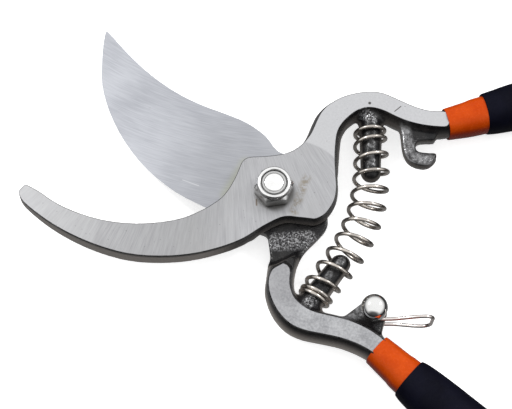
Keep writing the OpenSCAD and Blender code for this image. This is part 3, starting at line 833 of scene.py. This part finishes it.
def pivot_bolt():
    """Hexagon head under the washer, bearing shank and the threaded end, drawn plain."""
    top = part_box("pivot_bolt")[1].z / MM
    head_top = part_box("head_washer")[0].z / MM - 0.02
    thread_r = THREAD_R - 0.03
    shank_top = TOP_Z - 0.25
    slope = math.tan(math.radians(28))

    def profile(angle):
        r = hex_radius(angle, HEAD_AF)
        lip = max(0.0, r - HEAD_AF / 2 + 0.4) * slope
        return rounded([(0, 0.25), (4.2, 0.25), (4.5, 0), (HEAD_AF / 2 - 0.4, 0), (r, 0.12 + lip),
                        (r, head_top - 0.13), (r - 0.2, head_top), (SHANK_R, head_top),
                        (SHANK_R, shank_top), (thread_r, shank_top), (thread_r, top - 0.25),
                        (THREAD_R - 0.25, top), (0, top)], 0.1)

    bm = turned(profile, Vector((0, 0, 0)), 144, NUT_TURN)
    plate = polished("bolt_plate", (1.0, 1.0, 0.99), 0.2, 0.04)
    obj = new_object("pivot_bolt_turned", bm, [plate], smooth_deg=35)
    place(obj, "hook_side", "pivot_bolt")


def head_washer():
    """A flat washer with broken edges."""
    low, high = (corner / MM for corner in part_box("head_washer"))
    bore_r = SHANK_R + 0.2
    outline = [(bore_r, low.z), (high.x, low.z), (high.x, high.z), (bore_r, high.z)]
    bm = turned(lambda angle: rounded(outline, 0.1), Vector((0, 0, 0)))
    obj = new_object("thrust_washer", bm, [polished("washer_steel", (0.55, 0.55, 0.56), 0.3)])
    place(obj, "hook_side", "head_washer")


# ---------------------------------------------------------------- spring and latch

WIRE_R = 0.61
COILS = 13.1
COIL_STEPS = 40       # steps a turn
COIL_R = 4.475        # end coils, to the middle of the wire
SWELL = 0.9           # how much wider the middle coils are
CLOSE_PITCH = 1.265
OPEN_PITCH = 5.6
FIRST_TURN = math.radians(200)
# The bent axis from the upper stud to the lower one
SPRING_AXIS = [(26.3, 26.6), (27.4, 20), (28.5, 13), (28.9, 6.8), (28.8, 0.8), (27.9, -4.8),
               (26.4, -10.4), (24.3, -15.7), (21.8, -20.7), (19.2, -25.4), (16.6, -31)]


def rise(turn):
    """Distance along the spring after a number of turns, with close coils at both ends."""
    def eased(u, r):
        return 0 if u <= 0 else u * u / (2 * r) if u < r else u - r / 2
    open_turns = eased(turn - 0.5, 1.4) - eased(turn - 10.65, 1.2)
    return CLOSE_PITCH * turn + (OPEN_PITCH - CLOSE_PITCH) * open_turns


def return_spring():
    """A coil round the bent axis."""
    axis = np.array([tuple(p) for p in spline([(x, y, PART_Z) for x, y in SPRING_AXIS], 24)])
    run = np.concatenate([[0], np.cumsum(np.linalg.norm(np.diff(axis, axis=0), axis=1))])
    last = int(COILS * COIL_STEPS)
    probe = 0.8

    def on_axis(d):
        return Vector([float(np.interp(d, run, axis[:, k])) for k in range(3)])

    path = []
    for i in range(last + 1):
        d = run[-1] * rise(i / COIL_STEPS) / rise(last / COIL_STEPS)
        along = (on_axis(d + probe) - on_axis(d - probe)).normalized()
        a = 2 * math.pi * i / COIL_STEPS + FIRST_TURN
        r = COIL_R + SWELL * math.sin(math.pi * i / last)
        path.append(on_axis(d) + r * Vector((-along.y * math.cos(a), along.x * math.cos(a), math.sin(a))))
    wire = polished("spring_steel", (0.68, 0.63, 0.58), 0.18, 0.16)
    obj = new_object("return_spring_wire", sweep(path, WIRE_R), [wire])
    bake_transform(obj)
    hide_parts("return_spring")


# The ear between the two wire eyes, with the rivet's ball over the upper one
PIN_R = 2
EAR_HALF = 2.1
SLACK = 0.05
EYE_WIRE_R = 0.55
EYE_R = PIN_R + SLACK + EYE_WIRE_R
ROOT_Z = EAR_HALF + SLACK + EYE_WIRE_R
SEAT = ROOT_Z + EYE_WIRE_R + SLACK
BALL_R = 4
BALL_UP = 2.4         # the ball's centre over its seat
TAIL_R = 3.5
BAIL_LEN = 17.65
BAIL_WIRE_R = 0.57
BAIL_END_Z = 5.22     # half the height of the bail's outer end
BAIL_CORNER_R = 2.6
BAIL_TURN = math.radians(1)
EYE_WRAP = math.radians(300)


def latch_rivet():
    """A slightly squared ball on a flat seat, the pin through the ear and a domed tail."""
    start = math.asin(-BALL_UP / BALL_R)
    ball = [(BALL_R * math.cos(a) ** 0.8,
             SEAT + BALL_UP + math.copysign(BALL_R * abs(math.sin(a)) ** 0.9, a))
            for a in [start + (math.pi / 2 - start) * k / 24 for k in range(25)]]
    tail = [(TAIL_R * math.cos(a), -SEAT - 0.5 - 1.8 * math.sin(a))
            for a in [math.pi / 2 * k / 8 for k in range(8, -1, -1)]]
    pin_r = PIN_R - 0.01
    pin = rounded([tail[-1], (TAIL_R, -SEAT), (pin_r, -SEAT), (pin_r, SEAT), (3.3, SEAT), ball[0]], 0.2)
    outline = [(0, tail[0][1])] + tail[1:-1] + pin + ball[1:-1] + [(0, ball[-1][1])]
    bm = turned(lambda angle: outline, RIVET)
    obj = new_object("ball_rivet", bm, [polished("rivet_polish", (0.88, 0.88, 0.87), 0.07, 0.06)])
    place(obj, "blade_side", "latch_rivet")


def latch_bail():
    """The upper half of the wire, from its eye to the middle of its bar, and the same below."""
    foot_a = math.asin(EYE_R / BAIL_LEN) - math.pi / 2
    leg = math.sqrt(BAIL_LEN ** 2 - EYE_R ** 2) - BAIL_CORNER_R
    foot = EYE_R * Vector((math.cos(foot_a), math.sin(foot_a)))
    along = Vector((-math.sin(foot_a), math.cos(foot_a)))
    half = []
    for k in range(36, 0, -1):
        a = foot_a - EYE_WRAP * k / 36
        half.append(Vector((EYE_R * math.cos(a), EYE_R * math.sin(a), ROOT_Z)))
    for k in range(13):
        share = k / 12
        up = max(share - 0.3, 0) / 0.7
        z = ROOT_Z + (BAIL_END_Z - ROOT_Z) * up * up * (3 - 2 * up)
        half.append((foot + along * leg * share).to_3d() + Vector((0, 0, z)))
    for k in range(1, 9):
        a = math.pi / 2 * k / 8
        at = foot + along * (leg + BAIL_CORNER_R * math.sin(a))
        half.append(at.to_3d() + Vector((0, 0, BAIL_END_Z - BAIL_CORNER_R * (1 - math.cos(a)))))
    path = half + [Vector((p.x, p.y, -p.z)) for p in reversed(half)]
    turn = Matrix.Rotation(BAIL_TURN, 3, "Z")
    bm = sweep([turn @ p + RIVET for p in path], BAIL_WIRE_R)
    obj = new_object("wire_bail", bm, [polished("bail_wire", (0.82, 0.76, 0.73), 0.2, 0.04)])
    place(obj, "bail", "latch_bail")


# ---------------------------------------------------------------- grips

# Sections along each grip layer: x, y, half width, half thickness
UPPER_COAT = [(49.4, 32, 4.65, 5.55), (52, 33.1, 4.9, 5.8), (56, 34.8, 5.3, 6.1), (61, 37.2, 5.6, 6.3),
              (80, 45.6, 5.4, 6), (100, 52.6, 5, 5.6), (117, 57.1, 4.4, 5)]
UPPER_SLEEVE = [(60.8, 37.35, 6.1, 6.8), (64.4, 38.8, 6.5, 7.4), (72, 42.2, 7.1, 8.1), (84, 47.1, 7.5, 8.4),
                (98, 52, 7.5, 8.4), (110, 55.4, 7, 8.1), (118, 57.4, 6.4, 7.4)]
LOWER_COAT = [(37.2, -43.3, 4.65, 5.55), (40, -45.2, 4.9, 5.8), (43.8, -47.8, 5.2, 6.1),
              (48, -50.6, 5.6, 6.3), (66, -61.9, 5.4, 6), (84, -72, 5, 5.6), (99.8, -79.6, 4.4, 5)]
LOWER_SLEEVE = [(47.58, -50.36, 6.2, 6.8), (50.5, -52.3, 6.8, 7.4), (57, -56.5, 7.3, 8.1),
                (68, -63.3, 7.5, 8.4), (80.5, -70.3, 7.5, 8.4), (92, -76.1, 7, 8.1), (100.7, -80, 6.4, 7.4)]


GRIP_SIDES = 72
SQUARE = 0.85         # below 1 the oval's sides are a little flat


def oval(angle):
    """Unit outline of a grip: an oval with slightly flat sides."""
    c, v = math.cos(angle), math.sin(angle)
    return math.copysign(abs(c) ** SQUARE, c), math.copysign(abs(v) ** SQUARE, v)


def grip(name, sections, material, wall, lip, dome):
    """A grip layer: an oval tube with a rounded front lip and a domed closed end."""
    points = [(Vector(p[:2]), p[2], p[3]) for p in spline(sections, 10)]
    end = len(points) - 1
    stations = []
    for i, (at, wide, thick) in enumerate(points):
        along = (points[min(i + 1, end)][0] - points[max(i - 1, 0)][0]).normalized()
        stations.append((at, along, wide, thick))

    def ring_at(station, ahead, inset=0.0, share=1.0):
        at, along, wide, thick = station
        return at + along * ahead, along, (wide - inset) * share, (thick - inset) * share

    front, back = stations[0], stations[-1]
    rings = [ring_at(front, depth, wall) for depth in (2.5, 0.3)]
    for a in [math.pi * k / 6 for k in range(7)]:
        rings.append(ring_at(front, lip * (1 - math.sin(a)), lip * (1 + math.cos(a))))
    rings += [s for s in stations[1:] if (s[0] - front[0]).length > 2 * lip]
    for a in [math.pi / 2 * k / 8.4 for k in range(1, 9)]:
        rings.append(ring_at(back, dome * math.sin(a), share=math.cos(a)))

    bm = bmesh.new()
    outline = [oval(2 * math.pi * k / GRIP_SIDES) for k in range(GRIP_SIDES)]
    loops = []
    for at, along, wide, thick in rings:
        loops.append([bm.verts.new((at.x - along.y * x * wide, at.y + along.x * x * wide,
                                    PART_Z + z * thick)) for x, z in outline])
    for low, high in zip(loops, loops[1:]):
        bridge(bm, low, high)
    bm.faces.new(loops[0][::-1])
    bm.faces.new(loops[-1])
    bmesh.ops.recalc_face_normals(bm, faces=bm.faces[:])
    return new_object(name, bm, [material], smooth_deg=60)


def grips():
    """An orange coat and a black sleeve on each handle."""
    coat = dict(material=vinyl_orange(), wall=0.5, lip=0.24, dome=3)
    sleeve = dict(material=vinyl_black(), wall=0.6, lip=0.35, dome=6)
    for side, body, coat_sections, sleeve_sections in (
            ("upper", "hook_side", UPPER_COAT, UPPER_SLEEVE),
            ("lower", "blade_side", LOWER_COAT, LOWER_SLEEVE)):
        place(grip(side + "_orange_coat", coat_sections, **coat),
              body, side + "_grip_liner")
        place(grip(side + "_black_sleeve", sleeve_sections, **sleeve),
              body, side + "_grip_sleeve")


# ---------------------------------------------------------------- stage

FLOOR_HALF = 3.0


def paper_floor():
    """White paper that shows to the camera, but neither in reflections nor in bounced light."""
    bm = bmesh.new()
    corners = [bm.verts.new((x * FLOOR_HALF, y * FLOOR_HALF, 0))
               for x, y in ((-1, -1), (1, -1), (1, 1), (-1, 1))]
    bm.faces.new(corners)
    bmesh.ops.subdivide_edges(bm, edges=bm.edges[:], cuts=4, use_grid_fill=True)
    floor = new_object("paper_floor", bm, [floor_paper()], scale=1)
    floor.visible_glossy = False
    floor.visible_diffuse = False


def sky():
    """A white sky that fades below the horizon, a dark patch low in front and dim light from
    below."""
    world = bpy.data.worlds.new("studio")
    bpy.context.scene.world = world
    world.use_nodes = True
    tree = world.node_tree
    background = tree.nodes["Background"]
    where = tree.nodes.new("ShaderNodeTexCoord")
    split = tree.nodes.new("ShaderNodeSeparateXYZ")
    tree.links.new(where.outputs["Generated"], split.inputs[0])

    def maths(operation, *values):
        node = tree.nodes.new("ShaderNodeMath")
        node.operation = operation
        for socket, value in zip(node.inputs, values):
            if isinstance(value, bpy.types.NodeSocket):
                tree.links.new(value, socket)
            else:
                socket.default_value = value
        return node.outputs[0]

    def eased(value, low, high, strength):
        node = tree.nodes.new("ShaderNodeMapRange")
        node.interpolation_type = "SMOOTHSTEP"
        tree.links.new(value, node.inputs["Value"])
        for key, number in (("From Min", low), ("From Max", high), ("To Max", strength)):
            node.inputs[key].default_value = number
        return node.outputs[0]

    y, z = split.outputs["Y"], split.outputs["Z"]
    forward = maths("MULTIPLY_ADD", y, -0.97, maths("MULTIPLY", z, 0.24))
    front = maths("SUBTRACT", 1.0, eased(forward, 0.65, 0.95, 0.92))
    above = maths("MULTIPLY", eased(z, -0.2, 0.6, 1.0), front)
    below = eased(maths("MULTIPLY", z, -1.0), 0.25, 0.9, 0.24)
    strength = maths("ADD", maths("ADD", above, below), 0.02)
    tree.links.new(strength, background.inputs["Strength"])
    background.inputs["Color"].default_value = (1, 1, 1, 1)


def softbox(name, at, aim, power):
    """A small square area light."""
    light = bpy.data.lights.new(name, "AREA")
    light.shape = "SQUARE"
    light.size = 0.13
    light.energy = power
    obj = bpy.data.objects.new(name, light)
    obj.location = at
    obj.rotation_euler = (Vector(aim) - Vector(at)).to_track_quat("-Z", "Y").to_euler()
    bpy.context.scene.collection.objects.link(obj)


def studio():
    paper_floor()
    sky()
    softbox("left_softbox", (-0.42, 0.2, 0.62), (0, 0, 0), 1.5)
    softbox("right_softbox", (0.45, 0.3, 0.6), (0.02, 0, 0), 1.2)
    bpy.context.scene.view_settings.view_transform = "Standard"


def camera():
    """The photograph's view: 21 degrees off vertical, turned 9 degrees, 420 mm away."""
    tilt, turn = math.radians(21), math.radians(9)
    away = 420
    aim = Vector((-5.428, -4.775, TOP_Z))
    back = Vector((0, -away * math.sin(tilt), away * math.cos(tilt)))
    cam = bpy.data.cameras.new("camera")
    cam.lens = 97.78
    cam.sensor_width = 36
    obj = bpy.data.objects.new("camera", cam)
    obj.location = (Matrix.Rotation(turn, 3, "Z") @ (aim + back)) * MM
    obj.rotation_euler = (tilt, 0, turn)
    bpy.context.scene.collection.objects.link(obj)
    bpy.context.scene.camera = obj


camera()
studio()
hook_arm()
blade_arm()
pivot_bolt()
head_washer()
pivot_nut()
nut_insert()
return_spring()
latch_rivet()
latch_bail()
grips()
